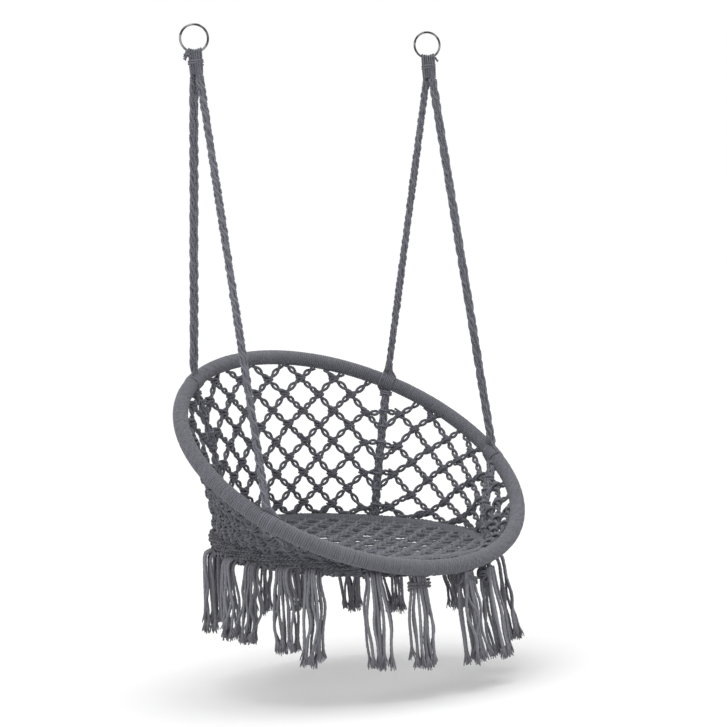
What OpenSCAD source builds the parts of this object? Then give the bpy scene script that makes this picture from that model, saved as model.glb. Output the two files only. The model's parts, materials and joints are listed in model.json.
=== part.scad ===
// Hanging net chair: two steel rings carry four plaited ropes, a large tilted
// hoop, a knotted net, a smaller seat hoop with a seat net, and a fringe.
// Origin: midway between the points where two hooks bear on the rings.
// +X runs from the left ring to the right ring, +Y to the back of the chair, +Z up.

/* [Rings] */
// Outer diameter of each hanging ring
ring_od = 65; // [50:1:80]
// Thickness of the ring wire
wire_d = 5; // [4:0.5:6]
// Distance between the two rings
ring_spacing = 680; // [600:10:700]
// Turn of each ring about its hook, clockwise from above
ring_turn = 32; // [0:1:35]

/* [Hoops] */
// Diameter of the large hoop, to the middle of its tube
hoop_d = 800; // [780:5:820]
// Slope of the large hoop, front edge down
hoop_tilt = 35; // [33:1:37]
// Drop from the hooks to the middle of the large hoop
hoop_drop = 965; // [955:1:970]
// Diameter of the seat hoop, to the middle of its tube
seat_d = 608; // [600:2:612]
// Drop from the hooks to the seat hoop
seat_drop = 1157; // [1150:1:1170]
// Distance of the large hoop's middle in front of the hook line
front_offset = 25; // [0:1:40]
// Distance of the seat hoop's middle behind the large hoop's middle
seat_back = 14; // [10:1:18]
// Pitch of the seat hoop, front edge down
seat_pitch = 6; // [5:0.5:7]
// Lean of the seat hoop, right side down
seat_lean = 3; // [0:0.5:3]
// Diameter of the large hoop's steel tube
hoop_tube_d = 25; // [20:1:28]
// Diameter of the large hoop over its cord wrapping
hoop_wrap_d = 35; // [32:1:38]
// Diameter of the seat hoop's steel tube
seat_tube_d = 22; // [18:1:25]
// Diameter of the seat hoop over its cord wrapping
seat_wrap_d = 33; // [30:1:35]
// Wall of both steel tubes
tube_wall = 1.2; // [1:0.1:2]

/* [Ropes] */
// Diameter of a plaited rope
rope_d = 18; // [14:1:20]
// Width of the rope that runs on down the net
sinnet_d = 16; // [12:1:18]
// Place of the front left rope on the large hoop
front_left_angle = 206; // [200:1:215]
// Place of the front right rope on the large hoop
front_right_angle = 351; // [335:1:355]
// Place of the back right rope on the large hoop
back_right_angle = 40; // [30:1:50]
// Place of the back left rope on the large hoop
back_left_angle = 124; // [118:1:130]
// Thickness of the lashing that ties a rope to the hoop
lashing_t = 7; // [5:0.5:9]

/* [Net] */
// How far the net's foot runs ahead of its top at the front right rope, in degrees
net_lead = 26; // [0:2:32]
// Thickness of the side net
net_t = 7; // [5:0.5:9]
// Thickness of the seat net
mat_t = 12; // [8:1:14]
// Height of the knotted band under the seat hoop
band_h = 25; // [15:1:30]
// Thickness of the knotted band
band_t = 18; // [12:1:20]

/* [Fringe] */
// Length of a tassel below its knot
tassel_len = 180; // [150:1:200]
// Diameter of a tassel at its knot
tassel_top_d = 22; // [18:1:24]
// Diameter of a tassel at its cut ends
tassel_end_d = 42; // [30:1:48]

/* [Hidden] */
// Running gap between pieces that move against each other
gap = 0.5;
// Gap between the net and what it is tied to
tie_gap = 1;
ring_r = (ring_od - wire_d) / 2;
ring_z = wire_d / 2 - ring_r;
pivot_z = ring_z - ring_r;
hoop_r = hoop_d / 2;
seat_r = seat_d / 2;
hoop_c = [0, -front_offset, -hoop_drop];
seat_c = [0, seat_back - front_offset, -seat_drop];
// The hitch: cord loops over the wire, then a binding, then the rope's neck
hitch_bore_r = 8;
hitch_wall = 5;
hitch_w = 26;
loop_h = 20;
bind_h = 16;
bind_d = 32;
neck_h = 14;
neck_d = 38;
hitch_bottom = pivot_z - loop_h - bind_h - neck_h;
rope_split = rope_d / 2 + 1;
// How far round the net's lead fades out, before and after the front right rope
lead_before = 90;
lead_after = 48;
// Half the width of a lashing and of the break in the net behind it
lashing_half = 3.2;
net_break = 8.5;
// Room kept from a hoop where the net leaves it aslant
slant_room = 9;
lashing_r = hoop_wrap_d / 2 + gap / 5 + lashing_t;
band_top = -seat_wrap_d / 2 - gap;
band_r = seat_r + 6;
knot_r = tassel_top_d / 2;
tassel_r = band_r + knot_r + gap;
tassel_z = band_top - band_h - knot_r / 2;
net_step = 4;
// Places of the tassels round the seat hoop
tassel_angles = [4, 35, 52, 74, 90, 120, 150, 174, 188, 203, 215, 238, 255, 276, 290, 317];
function two_digits(i) = i < 9 ? str("0", i + 1) : str(i + 1);
function tassel_name(i) = str("tassel_", two_digits(i));

function unit(v) = v / norm(v);
function hoop_point(a) = hoop_c + hoop_r * [cos(a), sin(a) * cos(hoop_tilt), sin(a) * sin(hoop_tilt)];
function hoop_tangent(a) = [-sin(a), cos(a) * cos(hoop_tilt), cos(a) * sin(hoop_tilt)];
// Turns a direction of the seat hoop's own frame, pitched and then leaning, into the part's frame
function seat_turn(x, y, z) =
    let (back = y * cos(seat_pitch) - z * sin(seat_pitch),
         up = y * sin(seat_pitch) + z * cos(seat_pitch))
    [x * cos(seat_lean) + up * sin(seat_lean), back, up * cos(seat_lean) - x * sin(seat_lean)];
function seat_place(x, y, z) = seat_c + seat_turn(x, y, z);
function seat_point(a) = seat_place(seat_r * cos(a), seat_r * sin(a), 0);
function seat_tangent(a) = seat_turn(-sin(a), cos(a), 0);

// The seat hoop's angle that the net reaches from one angle of the large hoop
function foot(a) =
    let (past = (a - front_right_angle + 540) % 360 - 180,
         share = max(0, past < 0 ? 1 + past / lead_before : 1 - past / lead_after))
    a - net_lead * share * share * (3 - 2 * share);
// How far along a line that meets a tube aslant a rod of radius r clears the radius keep
function clear_run(keep, r, line, tangent) =
    let (slant = abs(line * tangent)) (keep + r * slant) / sqrt(1 - slant * slant);
function rope_top(side, back) = [side * ring_spacing / 2, back * rope_split, hitch_bottom - gap];

// A round rod from one point to another
module rod(from, to, d) {
    v = to - from;
    translate(from)
        rotate([0, acos(v[2] / norm(v)), atan2(v[1], v[0])])
            cylinder(h = norm(v), d = d, $fn = 48);
}

// Part of a round tube bent into a hoop, between two angles
module bent_tube(bend_r, outer_r, inner_r, from = 0, sweep = 360) {
    rotate([0, 0, from])
        rotate_extrude(angle = sweep, $fn = 180)
            translate([bend_r, 0])
                difference() {
                    circle(r = outer_r, $fn = 48);
                    circle(r = inner_r, $fn = 48);
                }
}

module on_big_hoop() {
    translate(hoop_c)
        rotate([hoop_tilt, 0, 0])
            children();
}

module on_seat_hoop() {
    translate(seat_c)
        rotate([seat_pitch, seat_lean, 0])
            children();
}

module ring(side) {
    color("gainsboro")
        translate([side * ring_spacing / 2, 0, ring_z])
            rotate([90, 0, -ring_turn])
                rotate_extrude($fn = 96)
                    translate([ring_r, 0])
                        circle(d = wire_d, $fn = 32);
}

// Cord loops over the ring wire, with room for the wire as the chair swings
module hitch_loops() {
    difference() {
        translate([-hitch_w / 2, 0, pivot_z])
            rotate([90, 0, 90])
                linear_extrude(hitch_w)
                    union() {
                        circle(r = hitch_bore_r + hitch_wall, $fn = 64);
                        translate([-hitch_bore_r - hitch_wall, -loop_h])
                            square([2 * (hitch_bore_r + hitch_wall), loop_h]);
                    }
        translate([0, 0, ring_z])
            rotate([90, 0, 0])
                rotate_extrude($fn = 96)
                    translate([ring_r, 0])
                        circle(r = hitch_bore_r, $fn = 48);
    }
}

module hitch(side) {
    color("slategray")
        translate([side * ring_spacing / 2, 0, 0])
            rotate([0, 0, -ring_turn])
                union() {
                    hitch_loops();
                    translate([0, 0, pivot_z - loop_h - bind_h])
                        cylinder(h = bind_h, d = bind_d, $fn = 64);
                    translate([0, 0, hitch_bottom])
                        cylinder(h = neck_h, d = neck_d, $fn = 64);
                }
}

// A straight plaited rope from a hitch to its lashing
module rope(side, back, angle) {
    top = rope_top(side, back);
    tie = hoop_point(angle);
    up = unit(top - tie);
    below_hitch = rope_d / 2 * tan(acos(up[2]));
    above_tie = clear_run(lashing_r + tie_gap, rope_d / 2, up, hoop_tangent(angle));
    color("slategray")
        rod(top - below_hitch * up, tie + above_tie * up, rope_d);
}

module lashing(angle) {
    color("dimgray")
        on_big_hoop()
            bent_tube(hoop_r, lashing_r, hoop_wrap_d / 2 + gap / 5, angle - lashing_half, 2 * lashing_half);
}

// The rope's continuation down the net, from its lashing to the seat hoop
module sinnet(angle) {
    high = hoop_point(angle);
    low = seat_point(foot(angle));
    down = unit(low - high);
    below_tie = clear_run(lashing_r + tie_gap, sinnet_d / 2, down, hoop_tangent(angle));
    above_seat = clear_run(seat_wrap_d / 2 + tie_gap, sinnet_d / 2, down, seat_tangent(foot(angle)));
    color("slategray")
        rod(high + below_tie * down, low - above_seat * down, sinnet_d);
}

module big_hoop_tube() {
    color("silver")
        on_big_hoop()
            bent_tube(hoop_r, hoop_tube_d / 2, hoop_tube_d / 2 - tube_wall);
}

module big_hoop_wrap() {
    color("slategray")
        on_big_hoop()
            bent_tube(hoop_r, hoop_wrap_d / 2, hoop_tube_d / 2 + gap / 5);
}

module seat_hoop_tube() {
    color("silver")
        on_seat_hoop()
            bent_tube(seat_r, seat_tube_d / 2, seat_tube_d / 2 - tube_wall);
}

module seat_hoop_wrap() {
    color("slategray")
        on_seat_hoop()
            bent_tube(seat_r, seat_wrap_d / 2, seat_tube_d / 2 + gap / 5);
}

// The four corners of the net's section at one angle, two at each hoop
function net_section(a) =
    let (high = hoop_point(a),
         low = seat_point(foot(a)),
         down = unit(low - high),
         out = unit(cross([-sin(a), cos(a), 0], down)) * net_t / 2,
         top = high + clear_run(hoop_wrap_d / 2 + tie_gap, slant_room, down, hoop_tangent(a)) * down,
         bottom = low - clear_run(seat_wrap_d / 2 + tie_gap, slant_room, down, seat_tangent(foot(a))) * down)
    [top + out, top - out, bottom - out, bottom + out];

// A side panel of the net, between the ropes tied at two angles
module net_panel(from, to) {
    first = from + net_break;
    last = to - net_break;
    n = ceil((last - first) / net_step);
    points = [for (i = [0:n]) each net_section(first + (last - first) * i / n)];
    sides = [for (i = [0:n - 1], j = [0:3], half = [0, 1])
        let (a = 4 * i + j, b = 4 * i + (j + 1) % 4)
        half == 0 ? [a, b, b + 4] : [a, b + 4, a + 4]];
    ends = [[2, 1, 0], [3, 2, 0], [4 * n, 4 * n + 1, 4 * n + 2], [4 * n, 4 * n + 2, 4 * n + 3]];
    color("dimgray")
        polyhedron(points = points, faces = concat(sides, ends), convexity = 6);
}

module seat_net() {
    color("dimgray")
        on_seat_hoop()
            translate([0, 0, -mat_t / 2])
                cylinder(h = mat_t, r = seat_r - seat_wrap_d / 2 - gap, $fn = 180);
}

// The knotted band that hangs under the seat hoop and carries the fringe
module lower_band() {
    color("dimgray")
        on_seat_hoop()
            translate([0, 0, band_top - band_h])
                difference() {
                    cylinder(h = band_h, r = band_r, $fn = 180);
                    translate([0, 0, -1])
                        cylinder(h = band_h + 2, r = band_r - band_t, $fn = 180);
                }
}

// A bundle of hanging cords that pivots at its knot
module tassel(angle) {
    color("slategray")
        translate(seat_place(tassel_r * cos(angle), tassel_r * sin(angle), tassel_z))
            union() {
                sphere(d = tassel_top_d, $fn = 48);
                translate([0, 0, -tassel_len])
                    cylinder(h = tassel_len, d1 = tassel_end_d, d2 = tassel_top_d - 2, $fn = 48);
            }
}

ring(-1);  // left_ring
ring(1);  // right_ring
hitch(-1);  // left_hitch
hitch(1);  // right_hitch
rope(-1, 1, back_left_angle);  // back_left_rope
rope(-1, -1, front_left_angle);  // front_left_rope
rope(1, 1, back_right_angle);  // back_right_rope
rope(1, -1, front_right_angle);  // front_right_rope
lashing(back_left_angle);  // back_left_lashing
lashing(front_left_angle);  // front_left_lashing
lashing(back_right_angle);  // back_right_lashing
lashing(front_right_angle);  // front_right_lashing
sinnet(back_left_angle);  // back_left_sinnet
sinnet(front_left_angle);  // front_left_sinnet
sinnet(back_right_angle);  // back_right_sinnet
sinnet(front_right_angle);  // front_right_sinnet
big_hoop_tube();
big_hoop_wrap();
seat_hoop_tube();
seat_hoop_wrap();
net_panel(back_right_angle, back_left_angle);  // back_net
net_panel(back_left_angle, front_left_angle);  // left_net
net_panel(front_left_angle, front_right_angle);  // front_net
net_panel(front_right_angle - 360, back_right_angle);  // right_net
seat_net();
lower_band();
for (i = [0:len(tassel_angles) - 1])
    tassel(tassel_angles[i]);
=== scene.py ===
"""The looks of the hanging net chair: rings, plaited ropes, wrapped hoops, knotted net and fringe."""
import bpy
import json
import numpy as np
from math import asin, atan2, cos, pi, radians, sin, sqrt
from mathutils import Matrix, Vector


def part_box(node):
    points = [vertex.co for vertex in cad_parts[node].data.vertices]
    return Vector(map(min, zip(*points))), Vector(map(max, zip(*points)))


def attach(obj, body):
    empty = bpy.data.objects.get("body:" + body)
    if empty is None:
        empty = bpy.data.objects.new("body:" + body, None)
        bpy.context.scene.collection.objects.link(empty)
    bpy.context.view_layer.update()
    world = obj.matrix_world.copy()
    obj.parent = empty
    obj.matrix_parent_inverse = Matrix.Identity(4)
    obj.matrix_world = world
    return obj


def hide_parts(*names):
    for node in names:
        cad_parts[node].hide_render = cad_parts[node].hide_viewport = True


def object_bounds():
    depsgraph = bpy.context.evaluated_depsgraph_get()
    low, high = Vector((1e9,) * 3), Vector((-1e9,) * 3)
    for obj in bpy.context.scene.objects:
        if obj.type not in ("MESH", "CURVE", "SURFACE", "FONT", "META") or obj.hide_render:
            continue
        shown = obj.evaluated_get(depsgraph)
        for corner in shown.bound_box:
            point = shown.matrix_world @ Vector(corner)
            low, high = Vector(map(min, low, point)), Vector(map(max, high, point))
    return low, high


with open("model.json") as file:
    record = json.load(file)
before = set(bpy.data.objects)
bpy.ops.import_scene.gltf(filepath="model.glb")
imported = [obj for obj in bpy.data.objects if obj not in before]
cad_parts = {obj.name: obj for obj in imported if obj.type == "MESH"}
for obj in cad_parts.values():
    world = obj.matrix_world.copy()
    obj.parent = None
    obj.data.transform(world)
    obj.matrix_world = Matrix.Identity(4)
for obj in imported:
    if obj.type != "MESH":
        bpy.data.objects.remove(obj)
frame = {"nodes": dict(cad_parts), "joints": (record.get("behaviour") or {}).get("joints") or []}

CAD_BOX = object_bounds()
TAU = 2 * pi
NET_SEED = 11
FRINGE_SEED = 3
RANDOM = np.random.default_rng(NET_SEED)
UP = np.array((0.0, 0.0, 1.0))

# Sizes that the frame's boxes don't give, in metres
HOOP_WRAP_R = 0.0175
SEAT_WRAP_R = 0.0165
HOOP_TUBE_R = 0.0125
SEAT_TUBE_R = 0.011
WIRE_R = 0.0025
ROPE_SPLIT = 0.010
# Step between the points of a swept cord
STEP = 0.0026
SIDES = ("left", "right")
TIES = ("back_left", "front_left", "front_right", "back_right")


# ---------------------------------------------------------------- numbers

def unit(v):
    v = np.asarray(v, float)
    return v / np.maximum(np.linalg.norm(v, axis=-1, keepdims=True), 1e-12)


def middle(node):
    low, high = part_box(node)
    return (np.array(low) + np.array(high)) / 2


def half_size(node):
    low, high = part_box(node)
    return (np.array(high) - np.array(low)) / 2


def run_along(points):
    """How far along the line each of its points is."""
    steps = np.linalg.norm(np.diff(points, axis=0), axis=1)
    return np.concatenate([[0], np.cumsum(steps)])


def square_to(v, along):
    """The direction of v with its part along a line taken out."""
    return unit(v - (along * v).sum(-1, keepdims=True) * along)


def evenly(points, step):
    """The same line cut into even steps."""
    along = run_along(points)
    count = max(2, int(round(along[-1] / step)) + 1)
    at = np.linspace(0, along[-1], count)
    return np.stack([np.interp(at, along, points[:, k]) for k in range(3)], -1)


def curve(points, step):
    """A smooth line through the points, cut into even steps."""
    p = np.asarray(points, float)
    p = np.vstack([2 * p[0] - p[1], p, 2 * p[-1] - p[-2]])
    t = np.linspace(0, 1, 10, endpoint=False)[:, None]
    parts = []
    for a, b, c, d in zip(p[:-3], p[1:-2], p[2:-1], p[3:]):
        bend = (2 * a - 5 * b + 4 * c - d) * t ** 2 + (3 * b - a - 3 * c + d) * t ** 3
        parts.append(b + 0.5 * ((c - a) * t + bend))
    return evenly(np.vstack(parts + [p[-2][None]]), step)


def wander(count, size, waves=3):
    """A smooth random line of numbers round zero."""
    at = np.linspace(0, 1, count)
    total = np.zeros(count)
    for k in range(1, waves + 1):
        total += RANDOM.normal() / k * np.sin(TAU * (k * at * 0.8 + RANDOM.random()))
    return size * total


# ---------------------------------------------------------------- objects

def add_object(name, data):
    """A new object in the scene."""
    added = bpy.data.objects.new(name, data)
    bpy.context.scene.collection.objects.link(added)
    return added


def aimed(place, right, top, ahead):
    """The matrix of a camera or lamp at a place, from its three directions."""
    return Matrix.Translation(place) @ Matrix(np.stack([right, top, -ahead], 1).tolist()).to_4x4()


def put(piece, body, slot, *nodes):
    """Parents a piece to its body's empty and hides the CAD nodes it replaces; the slot is not used."""
    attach(piece, body)
    if nodes:
        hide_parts(*nodes)
    return piece


# ---------------------------------------------------------------- camera

CAMERA_PLACE = (-3.1549, -3.7704, -0.5889)
CAMERA_AZIMUTH = radians(40.6)
CAMERA_DROP = radians(1.97)
CAMERA_ROLL = radians(-3.87)
CAMERA_LENS_MM = 107.6


def make_camera():
    """A long lens in front on the left, level with the seat and rolled a little."""
    ahead = np.array((sin(CAMERA_AZIMUTH) * cos(CAMERA_DROP),
                      cos(CAMERA_AZIMUTH) * cos(CAMERA_DROP), -sin(CAMERA_DROP)))
    level = np.array((cos(CAMERA_AZIMUTH), -sin(CAMERA_AZIMUTH), 0.0))
    above = np.cross(level, ahead)
    right = cos(CAMERA_ROLL) * level + sin(CAMERA_ROLL) * above
    top = cos(CAMERA_ROLL) * above - sin(CAMERA_ROLL) * level
    data = bpy.data.cameras.new("camera")
    data.lens = CAMERA_LENS_MM
    data.sensor_width = 36
    camera = add_object("camera", data)
    camera.matrix_world = aimed(CAMERA_PLACE, right, top, ahead)
    bpy.context.scene.camera = camera


# ---------------------------------------------------------------- swept cords

class Bundle:
    """Collects swept cords and makes them one mesh."""

    def __init__(self):
        self.points, self.quads, self.caps, self.uv, self.tints, self.count = [], [], [], [], [], 0

    def grid(self, grid, lengths, tint, closed):
        """Adds one swept tube, given as rings of points; its UV is length and girth."""
        rings, sides = grid.shape[:2]
        index = self.count + np.arange(rings * sides).reshape(rings, sides)
        ahead = np.roll(index, -1, 0) if closed else index[1:]
        here = index if closed else index[:-1]
        quads = np.stack([here, np.roll(here, -1, 1), np.roll(ahead, -1, 1), ahead], -1)
        self.points.append(grid.reshape(-1, 3))
        self.quads.append(quads.reshape(-1, 4))
        around = np.arange(sides) / sides
        u0 = np.repeat(lengths[:len(here)], sides)
        u1 = np.repeat(np.append(lengths, 2 * lengths[-1] - lengths[-2])[1:len(here) + 1], sides)
        v0 = np.tile(around, len(here))
        v1 = v0 + 1 / sides
        corners = np.stack([np.stack([u0, v0], -1), np.stack([u0, v1], -1),
                            np.stack([u1, v1], -1), np.stack([u1, v0], -1)], 1)
        self.uv.append(corners.reshape(-1, 2))
        if not closed:
            self.caps += [index[0][::-1], index[-1]]
        self.tints.append(np.full(rings * sides, tint))
        self.count += rings * sides

    def cord(self, path, radius, facing=UP, twist=0.017, lobe=0.16, sides=6,
             closed=False, tint=None, widen=1.0):
        """Sweeps a round cord of three twisted strands along the path."""
        path = np.asarray(path, float)
        if closed:
            along = np.roll(path, -1, 0) - np.roll(path, 1, 0)
        else:
            along = np.gradient(path, axis=0)
        along = unit(along)
        side = unit(np.cross(along, np.broadcast_to(facing, path.shape)))
        out = np.cross(side, along)
        lengths = run_along(path)
        phase = TAU * lengths / twist + RANDOM.random() * TAU if twist else np.zeros(len(path))
        if closed and twist:
            whole = lengths[-1] + np.linalg.norm(path[0] - path[-1])
            phase = TAU * lengths * round(whole / twist) / whole
        around = TAU * np.arange(sides) / sides
        ridge = 1 - lobe * (np.arange(sides) % 2)
        angle = phase[:, None] + around[None]
        reach = (np.broadcast_to(radius, len(path))[:, None] * ridge[None])[..., None]
        grid = path[:, None] + reach * (widen * np.cos(angle)[..., None] * side[:, None]
                                        + np.sin(angle)[..., None] * out[:, None])
        self.grid(grid, lengths, RANDOM.normal(0, 1) if tint is None else tint, closed)

    def make(self, name, material):
        """One mesh object of everything collected."""
        points = np.concatenate(self.points)
        quads = np.concatenate(self.quads)
        caps = self.caps
        corners = np.concatenate([quads.ravel()] + list(caps)) if caps else quads.ravel()
        totals = np.array([4] * len(quads) + [len(c) for c in caps])
        mesh = bpy.data.meshes.new(name)
        mesh.vertices.add(len(points))
        mesh.vertices.foreach_set("co", points.ravel())
        mesh.loops.add(len(corners))
        mesh.loops.foreach_set("vertex_index", corners)
        mesh.polygons.add(len(totals))
        mesh.polygons.foreach_set("loop_start", np.concatenate([[0], np.cumsum(totals)[:-1]]))
        mesh.polygons.foreach_set("use_smooth", np.ones(len(totals), bool))
        mesh.update(calc_edges=True)
        layer = mesh.uv_layers.new(name="UVMap")
        uv = np.concatenate(self.uv)
        uv = np.vstack([uv, np.zeros((len(corners) - len(uv), 2))])
        layer.data.foreach_set("uv", uv.ravel())
        tint = mesh.attributes.new("tint", "FLOAT", "POINT")
        tint.data.foreach_set("value", np.concatenate(self.tints))
        mesh.validate()
        mesh.materials.append(material)
        return add_object(name, mesh)


# ---------------------------------------------------------------- materials

def set_inputs(node, values):
    for name, value in values.items():
        node.inputs[name].default_value = value


class Shader:
    """A new material, and the nodes that feed its surface."""

    def __init__(self, name):
        self.material = bpy.data.materials.new(name)
        self.material.use_nodes = True
        self.nodes = self.material.node_tree.nodes
        self.link = self.material.node_tree.links.new
        self.surface = self.nodes["Principled BSDF"]

    def math(self, operation, *values):
        """A sum of numbers and other nodes' outputs."""
        node = self.nodes.new("ShaderNodeMath")
        node.operation = operation
        for socket, value in zip(node.inputs, values):
            if isinstance(value, (int, float)):
                socket.default_value = value
            else:
                self.link(value, socket)
        return node.outputs[0]

    def noise(self, vector, scale, detail=3.0, roughness=0.6):
        node = self.nodes.new("ShaderNodeTexNoise")
        set_inputs(node, {"Scale": scale, "Detail": detail, "Roughness": roughness})
        self.link(vector, node.inputs["Vector"])
        return node.outputs["Fac"]

    def streaks(self, vector, stretch, detail, roughness):
        """Noise drawn out along one way."""
        mapping = self.nodes.new("ShaderNodeMapping")
        mapping.inputs["Scale"].default_value = stretch
        self.link(vector, mapping.inputs["Vector"])
        return self.noise(mapping.outputs["Vector"], 1.0, detail, roughness)

    def ranged(self, value, ranges):
        node = self.nodes.new("ShaderNodeMapRange")
        set_inputs(node, ranges)
        self.link(value, node.inputs["Value"])
        return node.outputs["Result"]

    def shade(self, base, brightness):
        """The base colour times a brightness."""
        mix = self.nodes.new("ShaderNodeMix")
        mix.data_type = "RGBA"
        mix.blend_type = "MULTIPLY"
        set_inputs(mix, {"Factor": 1.0, "A": (*base, 1.0)})
        self.link(brightness, mix.inputs["B"])
        self.link(mix.outputs["Result"], self.surface.inputs["Base Color"])

    def emboss(self, height, strength, distance):
        bump = self.nodes.new("ShaderNodeBump")
        set_inputs(bump, {"Strength": strength, "Distance": distance})
        self.link(height, bump.inputs["Height"])
        self.link(bump.outputs["Normal"], self.surface.inputs["Normal"])


def cotton(name, base, fuzz=0.00035, contrast=1.0):
    """Matt twisted cotton: fibre streaks along each cord, patchy dye and a soft sheen."""
    shader = Shader(name)
    set_inputs(shader.surface, {"Roughness": 0.92, "Specular IOR Level": 0.25,
                                "Sheen Weight": 0.22, "Sheen Roughness": 0.45})
    place = shader.nodes.new("ShaderNodeTexCoord")
    streaks = shader.streaks(place.outputs["UV"], (170.0, 9.0, 1.0), 4.0, 0.65)
    fibres = shader.noise(place.outputs["Object"], 1400.0, 2.0)
    patches = shader.noise(place.outputs["Object"], 9.0)
    tint = shader.nodes.new("ShaderNodeAttribute")
    tint.attribute_name = "tint"
    # Brightness round one: dye patches, cord to cord difference and fibre streaks
    dye = shader.math("MULTIPLY_ADD", patches, 0.34 * contrast, 0.83)
    cord = shader.math("MULTIPLY_ADD", tint.outputs["Fac"], 0.055 * contrast, 1.0)
    streak = shader.math("MULTIPLY_ADD", streaks, 0.7 * contrast, 0.65)
    shader.shade(base, shader.math("MULTIPLY", shader.math("MULTIPLY", dye, cord), streak))
    shader.emboss(shader.math("ADD", streaks, shader.math("MULTIPLY", fibres, 0.6)), 0.8, fuzz)
    return shader.material


def metal(name, base, roughness, scratch_scale, patches=0.0):
    """Plated or brushed steel: fine scratches, uneven polish and, if asked, painted reflections: dark
    patches darkening the colour.
    """
    shader = Shader(name)
    set_inputs(shader.surface, {"Metallic": 1.0, "Base Color": (*base, 1.0)})
    place = shader.nodes.new("ShaderNodeTexCoord").outputs["Object"]
    # Painted reflections: random noise patches darken the base colour, standing in for dark surroundings
    # mirrored in the plating.
    if patches:
        painted_reflection_range = {"From Min": 0.42, "From Max": 0.58, "To Min": 1.0 - patches}
        shader.shade(base, shader.ranged(shader.noise(place, 42.0, 2.0), painted_reflection_range))
    polish = {"To Min": roughness * 0.6, "To Max": roughness * 1.6}
    shader.link(shader.ranged(shader.noise(place, 130.0), polish), shader.surface.inputs["Roughness"])
    stretch = (scratch_scale, scratch_scale * 0.12, scratch_scale)
    shader.emboss(shader.streaks(place, stretch, 6.0, 0.7), 0.25, 0.00008)
    return shader.material


ROPE_COTTON = cotton("rope_cotton", (0.135, 0.137, 0.160))
WRAP_COTTON = cotton("wrap_cotton", (0.111, 0.112, 0.130), fuzz=0.0003)
NET_COTTON = cotton("net_cotton", (0.095, 0.096, 0.113))
FRINGE_COTTON = cotton("fringe_cotton", (0.096, 0.096, 0.109), fuzz=0.0006, contrast=2.0)
# The nickel's dark patches are painted reflections, not wear.
NICKEL = metal("nickel", (0.25, 0.25, 0.255), 0.14, 900.0, patches=0.80)
STEEL = metal("brushed_tube", (0.52, 0.53, 0.55), 0.32, 500.0)


# ---------------------------------------------------------------- hoops, read from the frame

class Hoop:
    """A hoop bent from round tube, with its own angles: 0 at the right, 90 degrees at the back."""

    def __init__(self, node, tube_r):
        reach = half_size(node) - tube_r
        self.c = middle(node)
        self.r = sqrt((reach ** 2).sum() / 2)
        tilted = np.sqrt(np.maximum(1 - (reach / self.r) ** 2, 0))
        self.pitch = asin(min(tilted[1], 1))
        self.lean = atan2(tilted[0], tilted[2])

    def turn(self, v):
        """A direction of the hoop's own frame, pitched and then leaning, in the part's frame."""
        x, y, z = np.moveaxis(np.asarray(v, float), -1, 0)
        back = y * cos(self.pitch) - z * sin(self.pitch)
        up = y * sin(self.pitch) + z * cos(self.pitch)
        return np.stack([x * cos(self.lean) + up * sin(self.lean), back,
                         up * cos(self.lean) - x * sin(self.lean)], -1)

    def place(self, v):
        return self.c + self.turn(v)

    def at(self, a):
        """A point on the tube's middle line."""
        a = np.asarray(a, float)
        return self.place(self.r * np.stack([np.cos(a), np.sin(a), 0 * a], -1))

    def round_tube(self, a, b, reach):
        """A point at hoop angle a and tube angle b, 0 pointing outwards and 90 degrees up."""
        a, b, reach = np.broadcast_arrays(np.asarray(a, float), b, reach)
        far = self.r + reach * np.cos(b)
        return self.place(np.stack([far * np.cos(a), far * np.sin(a), reach * np.sin(b)], -1))

    def outwards(self, a, b):
        """The direction out of the tube at hoop angle a and tube angle b."""
        a, b = np.broadcast_arrays(np.asarray(a, float), b)
        return self.turn(np.stack([np.cos(b) * np.cos(a), np.cos(b) * np.sin(a), np.sin(b)], -1))

    def along(self, a):
        a = np.asarray(a, float)
        return self.turn(np.stack([-np.sin(a), np.cos(a), 0 * a], -1))

    def angle_of(self, point):
        """The hoop angle that a point lies at."""
        x, y, z = np.array(point) - self.c
        up = z * cos(self.lean) + x * sin(self.lean)
        side = x * cos(self.lean) - z * sin(self.lean)
        back = y * cos(self.pitch) + up * sin(self.pitch)
        return atan2(back, side)


BIG = Hoop("big_hoop_wrap", HOOP_WRAP_R)
SEAT = Hoop("seat_hoop_wrap", SEAT_WRAP_R)
# The big hoop only pitches, so what its box says of a lean is rounding
BIG.lean = 0.0
TIE_ANGLE = {tie: BIG.angle_of(middle(tie + "_lashing")) % TAU for tie in TIES}


def rope_line(tie):
    """The straight line of a rope, from under its hitch to the big hoop's tube."""
    side, back = ("left" in tie), ("back" in tie)
    hitch = "left_hitch" if side else "right_hitch"
    x, y, _ = middle(hitch)
    top = np.array((x, y + (ROPE_SPLIT if back else -ROPE_SPLIT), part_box(hitch)[0][2]))
    return top, BIG.at(TIE_ANGLE[tie])


# ---------------------------------------------------------------- ropes

PLAIT_PITCH = 0.088
# Which way the flat of each plait faces, in degrees from the right
PLAIT_TURN = {"back_left": -30.0, "front_left": 49.0, "front_right": -46.0, "back_right": 51.0}


def plait(bundle, line, flat, sway, depth_sway, cord_r, pitch, cords=3):
    """Three round strands, each of a few cords, plaited along the line."""
    along = unit(np.gradient(line, axis=0))
    side = square_to(flat, along)
    depth = np.cross(side, along)
    lengths = run_along(line)
    start = RANDOM.random() * TAU
    lay = cord_r / sin(pi / cords) * 0.96 if cords > 1 else 0.0
    for strand in range(3):
        phase = TAU * lengths / pitch + TAU * strand / 3 + start
        x = sway * np.tanh(1.5 * np.sin(phase)) / np.tanh(1.5)
        y = depth_sway * np.sin(2 * phase)
        for cord in range(cords):
            roll = TAU * (lengths / (pitch * 1.3) + cord / cords) + strand
            loose = wander(len(line), 0.0002, 5)
            path = (line + (x + lay * np.cos(roll))[:, None] * side
                    + (y + lay * np.sin(roll) + loose)[:, None] * depth)
            bundle.cord(path, cord_r, facing=depth)


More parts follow.
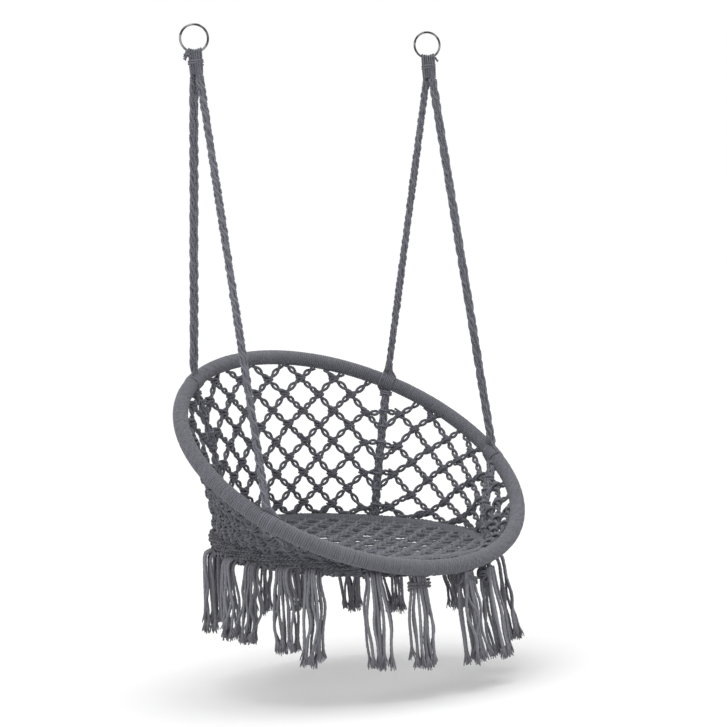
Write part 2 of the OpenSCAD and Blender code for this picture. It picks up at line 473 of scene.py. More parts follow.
def make_rope(tie):
    """A taut plait from its hitch down to just above the big hoop."""
    top, knot = rope_line(tie)
    down = unit(knot - top)
    length = np.linalg.norm(knot - top) - HOOP_WRAP_R - 0.012
    line = evenly(np.array([top + 0.002 * down, top + length * down]), STEP)
    turn = radians(PLAIT_TURN[tie])
    flat = np.array((cos(turn), sin(turn), 0.0))
    bundle = Bundle()
    plait(bundle, line, flat, 0.0046, 0.0036, 0.0030, PLAIT_PITCH)
    piece = put(bundle.make(tie + "_plait", ROPE_COTTON), "chair", "plaited_rope", tie + "_rope")


# ---------------------------------------------------------------- rings and hitches

WELD_ANGLE = radians(162)


def ring_frame(side):
    """A ring's middle and radius, and the directions across it and out of its face."""
    node = side + "_ring"
    half = half_size(node)
    turn = -atan2(half[1] - WIRE_R, half[0] - WIRE_R)
    across = np.array((cos(turn), sin(turn), 0.0))
    front = np.array((sin(turn), -cos(turn), 0.0))
    return middle(node), half[2] - WIRE_R, across, front


def make_ring(side):
    """A ring of bent wire with its weld."""
    centre, ring_r, across, _ = ring_frame(side)
    a = TAU * np.arange(180) / 180
    path = centre + ring_r * (np.cos(a)[:, None] * across + np.sin(a)[:, None] * UP)
    weld = np.exp(-((a - WELD_ANGLE) / 0.05) ** 2)
    ripple = 0.00035 * weld * (1 + 0.35 * np.sin(90 * a))
    bundle = Bundle()
    bundle.cord(path, WIRE_R + ripple, facing=path - centre, twist=0, lobe=0, sides=20,
                closed=True, tint=0)
    put(bundle.make(side + "_ring_wire", NICKEL), "rings", "ring_steel", side + "_ring")


LOOP_CORD_R = 0.0025
LOOP_SPREAD = 0.0128
BIND_TOP = 0.0170
BIND_TURNS = 2
BIND_PITCH = 0.0052
# Out of the ring's face and up, for each cut tail of the left hitch's binding
TAILS = ((0.004, 0.000), (-0.002, -0.003), (0.007, -0.006), (0.001, -0.009))


class Hitch:
    """Places about a ring's lowest wire: across the ring, out of its face, and up."""

    def __init__(self, side):
        centre, self.ring_r, self.across, self.front = ring_frame(side)
        self.side = side
        self.bend = centre - self.ring_r * UP
        self.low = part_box(side + "_hitch")[0][2] - self.bend[2]

    def spot(self, u, v, w):
        return self.bend + u * self.across + v * self.front + w * UP


def hitch_loops(bundle, hitch):
    """Cords looped over the wire, side by side."""
    reach = WIRE_R + LOOP_CORD_R + 0.0003
    for offset in np.linspace(-LOOP_SPREAD, LOOP_SPREAD, 6):
        rise = hitch.ring_r - sqrt(hitch.ring_r ** 2 - offset ** 2)
        turns = [hitch.spot(offset, reach * cos(t), rise + reach * sin(t)) for t in np.linspace(0, pi, 9)]
        legs = [(0.92, 0.0078, hitch.low + 0.002), (0.98, 0.0078, -BIND_TOP - 0.014),
                (0.95, 0.0072, -BIND_TOP - 0.006), (0.97, 0.0074, -BIND_TOP + 0.003), (1.0, 0.0062, -0.007)]
        down = [hitch.spot(offset * n, v, w) for n, v, w in legs]
        up = [hitch.spot(offset * n, -v, w) for n, v, w in legs[::-1]]
        path = curve(down + turns + up, 0.0022)
        bundle.cord(path + RANDOM.normal(0, 0.0002, 3), LOOP_CORD_R, facing=hitch.across)


def hitch_binding(bundle, hitch):
    """The binding's turns, drawn tight into the gathered cords."""
    t = np.linspace(0, BIND_TURNS * TAU, BIND_TURNS * 26)
    height = -BIND_TOP - BIND_PITCH * t / TAU + wander(len(t), 0.0002)
    path = np.stack([hitch.spot(0.0152 * cos(b), 0.0112 * sin(b), w) for b, w in zip(t, height)])
    bundle.cord(path, 0.0026, facing=path - hitch.bend - np.outer(height, UP))


def hitch_neck(bundle, hitch):
    """Cords under the binding that part into the two plaits."""
    neck = hitch.spot(0, 0, 0.008 - BIND_TOP - BIND_PITCH * BIND_TURNS)
    for tie in [tie for tie in TIES if hitch.side in tie]:
        top, knot = rope_line(tie)
        down = unit(knot - top)
        lean = (top - hitch.bend) * (0.75, 0.75, 0)
        for spin in TAU * np.arange(8) / 8:
            wide = np.array((cos(spin), sin(spin), 0.0))
            start = neck + 0.0066 * wide + lean
            middle_way = (start + top) / 2 + 0.0005 * wide
            end = top + 0.006 * down + 0.0062 * wide
            line = curve([start, middle_way, end, end + 0.010 * down], 0.0024)
            bundle.cord(line, 0.0027, facing=hitch.front)


def hitch_core(bundle, hitch):
    """The gathered cords that fill the hitch's middle."""
    heights = np.linspace(-0.009, hitch.low + 0.004, 6)
    for k in range(9):
        spin = TAU * k / 8
        reach = 0.0 if k == 8 else 0.0060
        core = [hitch.spot(1.5 * reach * cos(spin), 0.8 * reach * sin(spin), w) for w in heights]
        bundle.cord(curve(core, 0.004), 0.0032, facing=hitch.across)


def hitch_tails(bundle, hitch):
    """The frayed cut ends of the binding, on the chair's outer side."""
    sign = -1 if hitch.side == "left" else 1
    for v, w in TAILS if hitch.side == "left" else TAILS[1:2]:
        tail = [hitch.spot(sign * 0.010, v, -0.011), hitch.spot(sign * 0.0170, v, w + 0.003),
                hitch.spot(sign * 0.0205, v, w - 0.002)]
        bundle.cord(curve(tail, 0.002), 0.0028, facing=hitch.front)
        frayed(bundle, tail[-1], tail[-1] - tail[-2], 0.0028, 0.006, spread=0.22)


def make_hitch(side):
    """The cord loops over one ring's wire, bound into a neck that parts into two plaits."""
    hitch = Hitch(side)
    bundle = Bundle()
    hitch_loops(bundle, hitch)
    hitch_binding(bundle, hitch)
    hitch_neck(bundle, hitch)
    hitch_core(bundle, hitch)
    hitch_tails(bundle, hitch)
    put(bundle.make(side + "_hitch_cords", ROPE_COTTON), "chair", "lashing_cord", side + "_hitch")


def frayed(bundle, end, down, radius, length, fibres=7, spread=0.55):
    """The brush of loose fibres at a cut cord's end."""
    down = unit(down)
    side = unit(np.cross(down, (0.31, 0.87, 0.38)))
    other = np.cross(side, down)
    for k in range(fibres):
        spin = TAU * (k + RANDOM.random()) / fibres
        out = cos(spin) * side + sin(spin) * other
        inner = sqrt(RANDOM.uniform(0.05, 1.0))
        grow = length * RANDOM.uniform(0.7, 1.1)
        wide = inner * (radius + spread * length)
        path = [end - 0.003 * down + 0.35 * radius * inner * out,
                end + 0.30 * grow * down + 0.40 * wide * out,
                end + 0.68 * grow * down + 0.80 * wide * out,
                end + grow * down + wide * out]
        line = evenly(curve(path, 0.001), length / 4)
        thin = np.linspace(0.46, 0.30, len(line)) * radius
        bundle.cord(line, thin, facing=out, twist=0, lobe=0, sides=4)


# ---------------------------------------------------------------- wrapped hoops

def make_wrap(name, hoop, outer_r, inner_r, node, per_turn):
    """Close turns of cord wound round a hoop's tube, a little slack and uneven."""
    cord_r = (outer_r - inner_r) / 2
    centre_r = (outer_r + inner_r) / 2
    turns = int(round(TAU * hoop.r / (2 * cord_r)))
    t = np.arange(turns * per_turn) / per_turn

    def uneven(size):
        return np.interp(t, np.arange(turns + 1), RANDOM.normal(0, size, turns + 1))

    slack = uneven(0.00010)
    shift = uneven(0.07)
    shift[-per_turn:] *= np.linspace(1, 0, per_turn)
    a = TAU * (t + shift) / turns
    b = TAU * t
    path = hoop.round_tube(a, b, centre_r + slack)
    bundle = Bundle()
    bundle.cord(path, cord_r, facing=hoop.outwards(a, b), twist=0.0165, lobe=0.08, closed=True, widen=1.26)
    bundle.tints = [np.repeat(uneven(0.7), 6)]
    put(bundle.make(name, WRAP_COTTON), "chair", "wrapping_cord", node)


# ---------------------------------------------------------------- knots and ties

def loop_round(bundle, hoop, a, reach, cord_r, from_b, sweep):
    """A cord laid round a hoop's tube at angle a, over part of a turn."""
    steps = max(6, int(abs(sweep) / TAU * 22))
    b = from_b + sweep * np.linspace(0, 1, steps)
    bundle.cord(hoop.round_tube(a, b, reach), cord_r, facing=hoop.outwards(a, b))


def knot(bundle, place, down, out, size, cord_r, thick=0.36):
    """A flat knot: slanted loops crossing in front, round the gathered cords."""
    side = unit(np.cross(down, out))
    t = TAU * np.arange(14) / 14
    for slant in (-1, 0, 1):
        tip = slant * RANDOM.uniform(0.30, 0.55)
        wide = size * RANDOM.uniform(0.92, 1.08)
        rise = tip * wide * np.cos(t) * 0.6 + slant * 0.22 * size
        path = (place + np.outer(wide * 0.50 * np.cos(t), side) + np.outer(size * thick * np.sin(t), out)
                + np.outer(rise, down))
        bundle.cord(path, cord_r, facing=path - place, closed=True, twist=0)


# ---------------------------------------------------------------- side net

COLUMNS = 28
# The columns that the sinnets stand on
TIED_COLUMN = {"back_right": 3.0, "back_left": 9.5, "front_left": 16.0, "front_right": 27.0}
ROW = 0.0376
KNOT_SIZE = 0.0220
KNOT_CORD_R = 0.0029
NET_CORD_R = 0.0037
NET_DIP = 0.012
# Knots closer than this to the big hoop are left out
HOOP_ROOM = 0.016
# The net's foot runs ahead of its top at the front right rope, whose sinnet drops almost upright
NET_LEAD = radians(26)
LEAD_BEFORE = radians(90)
LEAD_AFTER = radians(48)


def foot_angle(a):
    """The seat hoop's angle that the net reaches from one angle of the large hoop."""
    past = (a - TIE_ANGLE["front_right"] + pi) % TAU - pi
    share = max(0.0, 1 + past / LEAD_BEFORE if past < 0 else 1 - past / LEAD_AFTER)
    return a - NET_LEAD * share * share * (3 - 2 * share)


def net_span(a):
    """The net's free edge points at the two hoops, at one angle of the large hoop."""
    high, low = BIG.at(a), SEAT.at(foot_angle(a))
    down = unit(low - high)
    return high + (HOOP_WRAP_R - 0.003) * down, low - (SEAT_WRAP_R - 0.002) * down


def net_height(a):
    """The net's whole height at one angle."""
    top, bottom = net_span(a)
    return np.linalg.norm(bottom - top)


def net_point(a, up):
    """A point of the net, up metres above the seat hoop, drawn in a little by the pull of the cords."""
    top, bottom = net_span(a)
    height = np.linalg.norm(top - bottom)
    share = np.clip(up / max(height, 1e-6), 0, 1)
    inward = -unit(np.array((cos(a), sin(a), 0.0)))
    return bottom + (top - bottom) * share + inward * NET_DIP * sin(pi * share) * min(1, height / 0.25)


def net_out(a):
    """The direction straight out of the net."""
    top, bottom = net_span(a)
    return unit(np.cross(np.array((-sin(a), cos(a), 0.0)), unit(bottom - top)))


def net_panel_of(a):
    """The panel that an angle lies in."""
    order = [("back_net", "back_right", "back_left"), ("left_net", "back_left", "front_left"),
             ("front_net", "front_left", "front_right"), ("right_net", "front_right", "back_right")]
    for name, first, last in order:
        start = TIE_ANGLE[first]
        if (a - start) % TAU < (TIE_ANGLE[last] - start) % TAU:
            return name
    return "right_net"


def twisted(bundle, path, out, cord_r=NET_CORD_R, half_turn=0.0235, apart=1.26, depth=0.90):
    """Two cords turned loosely about each other."""
    along = unit(np.gradient(path, axis=0))
    side = unit(np.cross(along, out))
    front = np.cross(side, along)
    lengths = run_along(path)
    halves = max(1, round(lengths[-1] / half_turn))
    phase = pi * halves * lengths / max(lengths[-1], 1e-6) + RANDOM.normal(0.0, 0.35)
    for beside in (0, pi):
        x = apart * cord_r * np.cos(phase + beside)
        y = depth * cord_r * np.sin(phase + beside)
        bundle.cord(path + x[:, None] * side + y[:, None] * front, cord_r, facing=out)


def turned(places, whole):
    """The same places one turn before, on, and one turn after."""
    return [place + whole * turn for turn in (-1, 0, 1) for place in places]


def column_angle(c):
    """The hoop angle of a net column; the sinnets stand on whole or half columns."""
    angles = [TIE_ANGLE[tie] for tie in TIED_COLUMN]
    return float(np.interp(c, turned(TIED_COLUMN.values(), COLUMNS), turned(angles, TAU)))


def row_up(row):
    """How far up the net a row of knots is."""
    return (row - 0.35) * ROW if row else 0.0


def net_line(first, last, sag=0.0):
    """A line over the net's surface between two (angle, height) places."""
    points = []
    for k in np.linspace(0, 1, 6):
        a = first[0] + (last[0] - first[0]) * k
        points.append(net_point(a, first[1] + (last[1] - first[1]) * k) - UP * sag * sin(pi * k))
    path = curve(points, STEP)
    return path if len(path) > 4 else evenly(path, np.linalg.norm(path[-1] - path[0]) / 4.5)


def net_layout():
    """Each knot's row, column, angle and height, a little uneven as hand-tied nets are."""
    tied = turned(TIED_COLUMN.values(), COLUMNS)
    knots = {}
    for row in range(1, 14):
        for column in range(COLUMNS):
            c = column + 0.5 * (row % 2)
            if c in tied or row_up(row) > net_height(column_angle(c)) - HOOP_ROOM:
                continue
            jitter = RANDOM.normal(0, 0.0022, 2)
            knots[row, 2 * c] = (column_angle(c) + jitter[0] / BIG.r, row_up(row) + jitter[1])
    return knots, tied


def leads(knots, tied, row, a, up, aim_c):
    """Where one knot's pair leads: to the next knot, a sinnet, the big hoop or the seat hoop."""
    aim_a = column_angle(aim_c)
    if aim_c in tied:
        ends = [(aim_a, min(up + 0.15 * ROW, net_height(aim_a) - 0.004))]
        return ends + [(aim_a, max(up - 1.1 * ROW, 0.004))] if row else ends
    aim = knots.get((row + 1, 2 * aim_c % (2 * COLUMNS)))
    if aim:
        ends = [(a + (aim[0] - a + pi) % TAU - pi, aim[1])]
    else:
        share = min(1.0, max(0.2, (net_height(a) - up) / (row_up(row + 1) - up)))
        at_hoop = a + (aim_a - a) * share
        ends = [(at_hoop, net_height(at_hoop))]
    return ends + [(aim_a, 0.0)] if row == 1 else ends


def make_nets():
    """The four panels: pairs of cords from knot to knot, tied to the hoops and the sinnets."""
    panels = {name: Bundle() for name in ("back_net", "left_net", "front_net", "right_net")}
    knots, tied = net_layout()
    starts = [((0, 2 * c), (column_angle(c), 0.0)) for c in range(COLUMNS) if c not in tied]
    for (row, c2), (a, up) in starts + list(knots.items()):
        if row:
            here = net_point(a, up)
            down = unit(net_point(a, up - 0.01) - here)
            knot(panels[net_panel_of(a)], here, down, net_out(a), KNOT_SIZE, KNOT_CORD_R)
        for aim_c in (c2 / 2 - 0.5, c2 / 2 + 0.5):
            for end in leads(knots, tied, row, a, up, aim_c):
                at_post = end[0] == column_angle(aim_c)
                sag = 0.004 * RANDOM.random() if at_post else RANDOM.normal(0, 0.0012)
                half_way = (a + end[0]) / 2
                path = net_line((a, up), end, sag)
                twisted(panels[net_panel_of(half_way % TAU)], path, net_out(half_way))
    fill_low_side(panels, knots)
    for name, bundle in panels.items():
        put(bundle.make(name + "_cords", NET_COTTON), "chair", "net_cord", name)


# Half columns and rows of the crowded part low on the chair's left
CROWDED = (25, 43)
CROWDED_ROWS = 3


def fill_low_side(panels, knots):
    """The crowded part: each diamond is crossed by a level and an upright pair."""
    for (row, c2), (a, up) in knots.items():
        if row > CROWDED_ROWS or not CROWDED[0] <= c2 <= CROWDED[1]:
            continue
        target = panels[net_panel_of(a)]
        beside = knots.get((row, c2 + 2))
        above = knots.get((row + 2, c2))
        if beside:
            twisted(target, net_line((a, up), beside, 0.003), net_out(a))
        if above:
            twisted(target, net_line((a, up), above), net_out(a))
        if row < CROWDED_ROWS:
            twisted(target, net_line((a, 0.0), (a, up)), net_out(a))
        if beside and up < net_height((a + beside[0]) / 2) - 0.012:
            cross = (a + beside[0]) / 2
            knot(target, net_point(cross, up - 0.002), -UP, net_out(cross), 0.019, KNOT_CORD_R)
    for c in np.arange(CROWDED[0] / 2, CROWDED[1] / 2 + 0.1, 0.5):
        a = column_angle(c)
        height = net_height(a)
        for up in (0.012, 0.034):
            if up < height - 0.012:
                place = net_point(a + RANDOM.normal(0, 0.01), up)
                knot(panels[net_panel_of(a)], place, -UP, net_out(a), 0.020, KNOT_CORD_R)


# ---------------------------------------------------------------- seat net

SEAT_SPACING = 0.040
SEAT_GRID_TURN = radians(33)
SEAT_CORD_R = 0.0036
SEAT_SAG = 0.012
SEAT_RISE = 0.005
SEAT_RIM = SEAT.r - SEAT_WRAP_R + 0.004
SEAT_KNOT_SIZE = 0.0165
SEAT_KNOT_CORD_R = 0.0028


def seat_spot(u, v, lift=0.0):
    """A place on the sagging seat, along its two families of cords."""
    x = u * cos(SEAT_GRID_TURN) - v * sin(SEAT_GRID_TURN)
    y = u * sin(SEAT_GRID_TURN) + v * cos(SEAT_GRID_TURN)
    z = SEAT_RISE - SEAT_SAG * (1 - (x * x + y * y) / SEAT_RIM ** 2) + lift
    return SEAT.place((x, y, z))


def seat_line(family, k, offset, reach):
    """One woven line of the seat, from rim to rim."""
    t = np.linspace(-reach, reach, max(8, int(reach * 2 / 0.0034)))
    weave = 0.0010 * np.cos(pi * (t / SEAT_SPACING + k + family)) - 0.0012 * family
    weave *= np.minimum(1, (reach - np.abs(t)) / 0.02)
    bend = wander(len(t), 0.0009, 3)
    spots = [(offset + b, v) if family else (v, offset + b) for b, v in zip(bend, t)]
    return np.array([seat_spot(u, v, lift) for (u, v), lift in zip(spots, weave)])


def make_seat_net():
    """The dense mat: two families of flat twisted pairs, knotted where they cross."""
    bundle = Bundle()
    lines = np.arange(-7.5, 8) * SEAT_SPACING
    up = SEAT.turn(UP)
    along = SEAT.turn((1.0, 0.0, 0.0))
    for family in (0, 1):
        for k, offset in enumerate(lines):
            reach = sqrt(max(SEAT_RIM ** 2 - offset ** 2, 0.0))
            if reach < 0.03:
                continue
            path = seat_line(family, k, offset, reach)
            twisted(bundle, path, up, SEAT_CORD_R, SEAT_SPACING / (1 + family), 1.25 + 0.35 * family, 0.30)
    for u in lines:
        for v in lines:
            if u * u + v * v < (SEAT_RIM - 0.012) ** 2:
                knot(bundle, seat_spot(u, v, -0.0004), along, up, SEAT_KNOT_SIZE, SEAT_KNOT_CORD_R, 0.14)
    put(bundle.make("seat_net_cords", NET_COTTON), "chair", "net_cord", "seat_net")


# ---------------------------------------------------------------- lashings and sinnets

def gathered(bundle, start, down, flat, spread_ends, cord_r):
    """Cords fanning from a plait's end to places side by side."""
    depth = unit(np.cross(flat, down))
    half = (len(spread_ends) - 1) / 2
    for k, end in enumerate(spread_ends):
        across = (k - half) / half
        first = start - 0.010 * down + 0.0062 * across * flat + 0.002 * depth
        second = start + 0.004 * down + 0.0072 * across * flat + 0.003 * depth
        line = curve([first, second, (second + end) / 2 + 0.001 * depth, end], 0.0024)
        bundle.cord(line, cord_r, facing=depth)


def binding(bundle, place, axis, flat, turns, half_width, half_depth, cord_r):
    """Turns of cord round a plait."""
    depth = unit(np.cross(flat, axis))
    t = np.linspace(0, turns * TAU, int(turns * 20))
    rise = (t / TAU - turns / 2) * 2 * cord_r * 0.98
    path = (place + np.outer(half_width * np.cos(t), flat) + np.outer(half_depth * np.sin(t), depth)
            + np.outer(rise, axis))
    bundle.cord(path, cord_r, facing=path - place - np.outer(rise, axis))


LASH_CORD_R = 0.0028
LASH_SPREAD = np.linspace(-0.0148, 0.0148, 7)


def tube_angle(a, v):
    """The tube angle that a direction has at one angle of the big hoop."""
    return atan2(float(v @ BIG.outwards(a, pi / 2)), float(v @ BIG.outwards(a, 0.0)))


def make_lashing(tie):
    """The rope's cords spread over the hoop's inner side and gathered again below."""
    a = TIE_ANGLE[tie]
    top, centre = rope_line(tie)
    up = unit(top - centre)
    down = unit(SEAT.at(foot_angle(a)) - centre)
    along = BIG.along(a)
    over = HOOP_WRAP_R + 0.0012
    flush = HOOP_WRAP_R - 0.0012
    start_b, end_b = tube_angle(a, up), tube_angle(a, down)
    sweep = (end_b - start_b) % TAU
    bundle = Bundle()
    t = np.linspace(0, 1, 20)
    for offset in LASH_SPREAD:
        beside = a + (offset + 0.0016 * np.sin(pi * t)) / BIG.r
        b = start_b + sweep * t
        bundle.cord(BIG.round_tube(beside, b, over), LASH_CORD_R, facing=BIG.outwards(beside, b))
        loop_round(bundle, BIG, a + offset / BIG.r, flush, LASH_CORD_R, end_b - 0.15, TAU - sweep + 0.3)
    for way, b in ((up, start_b), (down, end_b)):
        start = centre + (HOOP_WRAP_R + 0.018) * way
        flat = square_to(along, way)
        ends = [BIG.round_tube(a + offset / BIG.r, b, over) for offset in LASH_SPREAD]
        gathered(bundle, start, -way, flat, ends, LASH_CORD_R)
        ends = [BIG.round_tube(a + offset / BIG.r, b + 0.45, over - 0.001) for offset in LASH_SPREAD * 0.8]
        gathered(bundle, start, -way, -flat, ends[::-1], LASH_CORD_R)
    tie_place = centre + (HOOP_WRAP_R + 0.011) * down
    binding(bundle, tie_place, down, square_to(along, down), 2, 0.0132, 0.0098, 0.0026)
    put(bundle.make(tie + "_lashing_cords", ROPE_COTTON), "chair", "lashing_cord", tie + "_lashing")


def make_sinnet(tie):
    """The plait that runs on down the net to the seat hoop, with the net tied in at each row."""
    a = TIE_ANGLE[tie]
    height = net_height(a)
    ups = np.linspace(height - 0.006, 0.002, max(6, int(height / 0.01)))
    line = curve([net_point(a, up) for up in ups], STEP)
    flat = square_to(BIG.along(a), unit(np.gradient(line, axis=0)))
    bundle = Bundle()
    plait(bundle, line, flat, 0.0054, 0.0030, 0.0028, 0.070)
    for row in range(1, int(height / ROW) + 1):
        up = row_up(row) + 0.1 * ROW
        if up > height - 0.03:
            continue
        place = net_point(a, up)
        axis = unit(net_point(a, up + 0.005) - place)
        binding(bundle, place, axis, flat[len(flat) // 2], 1.5, 0.0112, 0.0086, 0.0024)
    put(bundle.make(tie + "_sinnet_cords", ROPE_COTTON), "chair", "plaited_rope", tie + "_sinnet")


# ---------------------------------------------------------------- lower band

HEM_DEPTH = -0.0320
BAND_STEPS = 390
BAND_KNOTS = 84


def band_place(a, depth, out):
    """A place on the hanging band, which is drawn up closer to the hoop at the chair's front."""
    near_front = 0.5 - 0.5 * np.sin(a)
    lift = np.maximum(-depth - 0.0125, 0) * 0.72 * near_front
    far = SEAT.r + out
    return SEAT.place(np.stack([far * np.cos(a), far * np.sin(a), depth + lift], -1))


def band_rows():
    """The rows' lines and the directions they face: three on the hoop, two hanging under it."""
    a = TAU * np.linspace(0, 1.006, BAND_STEPS)
    rows = []
    for tube_degrees in (22.0, -14.0, -50.0):
        b = radians(tube_degrees) + wander(BAND_STEPS, 0.02, 6)
        rows.append((SEAT.round_tube(a, b, SEAT_WRAP_R + 0.0016), SEAT.outwards(a, b)))
    for depth, out in ((-0.0225, 0.0050), (HEM_DEPTH, 0.0036)):
        path = band_place(a, depth + wander(BAND_STEPS, 0.0010, 8), out + wander(BAND_STEPS, 0.0006, 8))
        rows.append((path, SEAT.outwards(a, 0.0)))
    return rows


def knotted_head(bundle, head):
    """The big knot and loops that some tassels' strands leave from."""
    for _ in range(6):
        ahead = head.far + RANDOM.normal(0, 0.006)
        place = head.spot(RANDOM.normal(0, 0.011), ahead, 0.0)
        place = place + RANDOM.uniform(0.2, 0.9) * head.rise * UP
        knot(bundle, place, unit(head.axis + RANDOM.normal(0, 0.5, 3)), head.out, 0.024, 0.0032)
    for beside in (-0.010, 0.0, 0.010):
        tied = head.hem + beside * head.axis
        loop = [tied, tied + 0.6 * head.far * head.out + 0.004 * UP,
                head.spot(beside, head.far, 0.5 * head.rise)]
        bundle.cord(curve(loop, 0.003), 0.0034, facing=head.out)


def make_band():
    """Braided rows knotted over the seat hoop's outer side and hanging just under it."""
    bundle = Bundle()
    for path, facing in band_rows():
        flat = np.cross(facing, unit(np.gradient(path, axis=0)))
        plait(bundle, path, flat, 0.0042, 0.0016, 0.0025, 0.034 + 0.002 * RANDOM.random(), cords=2)
    for k in range(BAND_KNOTS):
        spin = TAU * (k + RANDOM.uniform(-0.3, 0.3)) / BAND_KNOTS
        place = band_place(spin, RANDOM.choice((-0.0205, -0.0265, -0.0315)), 0.0075)
        knot(bundle, place, -UP, SEAT.outwards(spin, 0.0), RANDOM.uniform(0.013, 0.018), 0.0026)
    for joint in frame["joints"]:
        if joint["child"] in KNOTTED_HEADS:
            knotted_head(bundle, Head(joint))
    put(bundle.make("lower_band_cords", NET_COTTON), "chair", "net_cord", "lower_band")


# ---------------------------------------------------------------- tassels

STRANDS = 11
STRAND_R = 0.0035
FRAY = 0.026
ARCH = 0.006
# How much shorter than the rest some tassels are cut, in metres
CUT_SHORT = {"tassel_01": 0.030, "tassel_07": 0.014, "tassel_08": 0.020, "tassel_09": 0.026,
             "tassel_10": 0.020, "tassel_16": 0.010}
# How far the strands arch outwards before they drop, where they hang from under the big hoop
ARCH_OUT = {"tassel_13": 0.014, "tassel_14": 0.020, "tassel_15": 0.020, "tassel_16": 0.016}
# How far a tassel's foot is drawn along the hoop, in metres
LEAN_ALONG = {"tassel_09": -0.010}
KNOTTED_HEADS = ("tassel_14", "tassel_15")
BOUND_HEAD = "tassel_13"


class Head:
    """A tassel's pivot and directions, the hem it is tied to, and how far out its strands arch."""

    def __init__(self, joint):
        self.node = joint["child"]
        self.pivot = np.array(joint["pos_m"])
        self.axis = np.array(joint["axis"])
        self.out = unit(np.cross(self.axis, UP))
        self.hem = band_place(SEAT.angle_of(self.pivot), HEM_DEPTH, 0.002)
        self.rise = self.hem[2] - self.pivot[2]
        self.far = ARCH_OUT.get(self.node, ARCH)
        self.knotted = self.node in KNOTTED_HEADS
        self.layer_gap = 0.0090 if self.knotted else 0.0050

    def spot(self, across, ahead, up):
        return self.pivot + across * self.axis + ahead * self.out + up * UP


def new_clump():
    """What the strands of one clump share: the ripple's size and place, a lean and a cut."""
    wave = RANDOM.normal(0, 0.0027, 2)
    turn = RANDOM.random(2) * TAU
    slide = RANDOM.normal(0, 0.10)
    return wave, turn, slide, RANDOM.uniform(0.94, 1.0)


class Hang:
    """How one tassel hangs: its length, flare, drift, waist and the parting between its strands."""

    def __init__(self, head):
        self.length = head.pivot[2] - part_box(head.node)[0][2] - CUT_SHORT.get(head.node, 0.0)
        self.flare = RANDOM.uniform(0.0, 0.006) + (0.012 if head.far > 0.015 else 0.0)
        self.drift = RANDOM.normal(0, 0.005) + LEAN_ALONG.get(head.node, 0.0)
        self.pinch = RANDOM.choice((-0.004, 0.000, 0.003))
        self.parting = RANDOM.integers(3, STRANDS - 2)


def strand_top(head, across, ahead):
    """The strand's first places, from the hem over the arch, or out of the knotted head."""
    beside = 0.0175 * across
    layer = head.layer_gap * ahead
    shoulder = head.spot(beside, head.far + 0.002 + layer, 0.3 * head.rise - 0.002)
    if head.knotted:
        return [head.spot(0.8 * beside, head.far + layer, 0.9 * head.rise), shoulder]
    step = 0.002 * ahead
    return [head.hem + beside * head.axis + step * UP,
            head.spot(beside, head.far - 0.014, head.rise + 0.004 + step),
            head.spot(beside, head.far - 0.003 + layer, 0.8 * head.rise + 0.002 + step),
            shoulder]


def strand_line(head, hang, k, clump):
    """One strand's line: it hangs with its clump, swells in the middle and spreads to its end."""
    wave, turn, slide, cut = clump
    across = ((k + 0.5) / STRANDS * 2 - 1) + RANDOM.normal(0, 0.04)
    ahead = (k % 2 * 2 - 1) * RANDOM.uniform(0.8, 1.2)
    apart = 0.0026 if k >= hang.parting else -0.0026
    fall = hang.length * cut * RANDOM.uniform(0.95, 1.0) - FRAY
    own = RANDOM.normal(0, 0.0015, 2)
    if RANDOM.random() < 0.12:
        own *= 3.5
        fall *= RANDOM.uniform(0.8, 0.95)
    points = strand_top(head, across, ahead)
    for share in (0.14, 0.3, 0.46, 0.62, 0.8, 1.0):
        swell = sin(pi * min(share * 1.1, 1.0))
        wide = 0.0180 + 0.0070 * share + (0.0020 - hang.pinch) * swell
        phase = turn + TAU * share * np.array((1.3, 1.0))
        ripple = (wave + own) * np.sin(phase) * sin(pi * min(share, 0.55))
        beside = (across + slide * share) * wide + apart * swell + ripple[0] + hang.drift * share ** 2
        layer = ahead * (head.layer_gap + 0.003 * share)
        out = head.far + 0.002 + layer + ripple[1] + hang.flare * share
        points.append(head.spot(beside, out, -share * fall))
    return curve(points, 0.0042)


def make_tassel(joint):
    """Strands hanging in clumps, with frayed ends."""
    head = Head(joint)
    hang = Hang(head)
    bundle = Bundle()
    clump = None
    for k in range(STRANDS):
        if k in (0, hang.parting) or RANDOM.random() < 0.3:
            clump = new_clump()
        path = strand_line(head, hang, k, clump)
        thick = STRAND_R * RANDOM.uniform(0.86, 1.08)
        bundle.cord(path, thick, facing=head.out, twist=0.020)
        frayed(bundle, path[-1], path[-1] - path[-4], thick, FRAY, fibres=12, spread=0.19)
    if head.node == BOUND_HEAD:
        place = head.spot(0.0, head.far, 0.20 * head.rise)
        binding(bundle, place, -UP, head.axis, 2.6, 0.0250, 0.0112, 0.0036)
    put(bundle.make(head.node + "_strands", FRINGE_COTTON), head.node, "fringe_cord", head.node)


# ---------------------------------------------------------------- light and floor

FLOOR_GAP = 0.050
FLOOR_REACH = 30.0
FLOOR_WHITE = (0.69, 0.69, 0.69, 1.0)
WHITE = (1.0, 1.0, 1.0, 1.0)
KEY_PLACE = (-3.4, -2.8, 1.2)


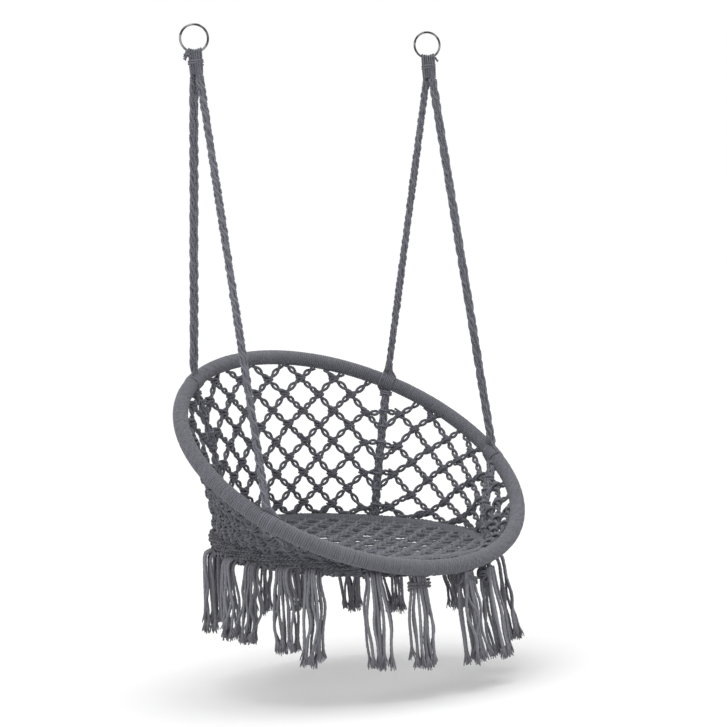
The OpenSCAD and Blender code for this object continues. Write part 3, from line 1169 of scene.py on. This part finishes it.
def make_floor():
    """A wide matt floor under the chair."""
    z = CAD_BOX[0][2] - FLOOR_GAP
    corners = [(x * FLOOR_REACH, y * FLOOR_REACH, z) for x, y in ((-1, -1), (1, -1), (1, 1), (-1, 1))]
    mesh = bpy.data.meshes.new("floor")
    mesh.from_pydata(corners, [], [(0, 1, 2, 3)])
    white = Shader("floor_white")
    set_inputs(white.surface, {"Base Color": FLOOR_WHITE, "Roughness": 0.9, "Specular IOR Level": 0.0})
    mesh.materials.append(white.material)
    add_object("floor", mesh)


def make_backdrop():
    """A plain white studio all round."""
    bpy.context.scene.view_settings.view_transform = "Standard"
    world = bpy.data.worlds.new("studio")
    world.use_nodes = True
    set_inputs(world.node_tree.nodes["Background"], {"Color": WHITE, "Strength": 1.0})
    bpy.context.scene.world = world


def make_overhead():
    """Soft light from straight above, for the shadow under the chair."""
    sky = bpy.data.lights.new("overhead", "SUN")
    sky.energy = 1.76
    sky.angle = radians(50)
    add_object("overhead", sky)


def make_key():
    """A wide lamp in front on the left, aimed at the big hoop."""
    light = bpy.data.lights.new("key", "AREA")
    light.shape = "DISK"
    light.size = 4.0
    light.energy = 46.0
    ahead = unit(BIG.c - np.array(KEY_PLACE))
    level = unit(np.cross(ahead, (0.01, 0.02, 1.0)))
    add_object("key", light).matrix_world = aimed(KEY_PLACE, level, np.cross(level, ahead), ahead)


# ---------------------------------------------------------------- the whole chair

make_camera()
for tie in TIES:
    make_rope(tie)
for side in SIDES:
    make_ring(side)
    make_hitch(side)
make_wrap("big_hoop_cord", BIG, HOOP_WRAP_R, HOOP_TUBE_R, "big_hoop_wrap", 28)
make_wrap("seat_hoop_cord", SEAT, SEAT_WRAP_R, SEAT_TUBE_R, "seat_hoop_wrap", 24)
for node in ("big_hoop_tube", "seat_hoop_tube"):
    tube = frame["nodes"][node]
    tube.data.materials.clear()
    tube.data.materials.append(STEEL)
make_nets()
make_seat_net()
for tie in TIES:
    make_lashing(tie)
    make_sinnet(tie)
RANDOM = np.random.default_rng(FRINGE_SEED)
make_band()
for joint in frame["joints"]:
    if joint["name"].startswith("tassel"):
        make_tassel(joint)
make_floor()
make_backdrop()
make_overhead()
make_key()
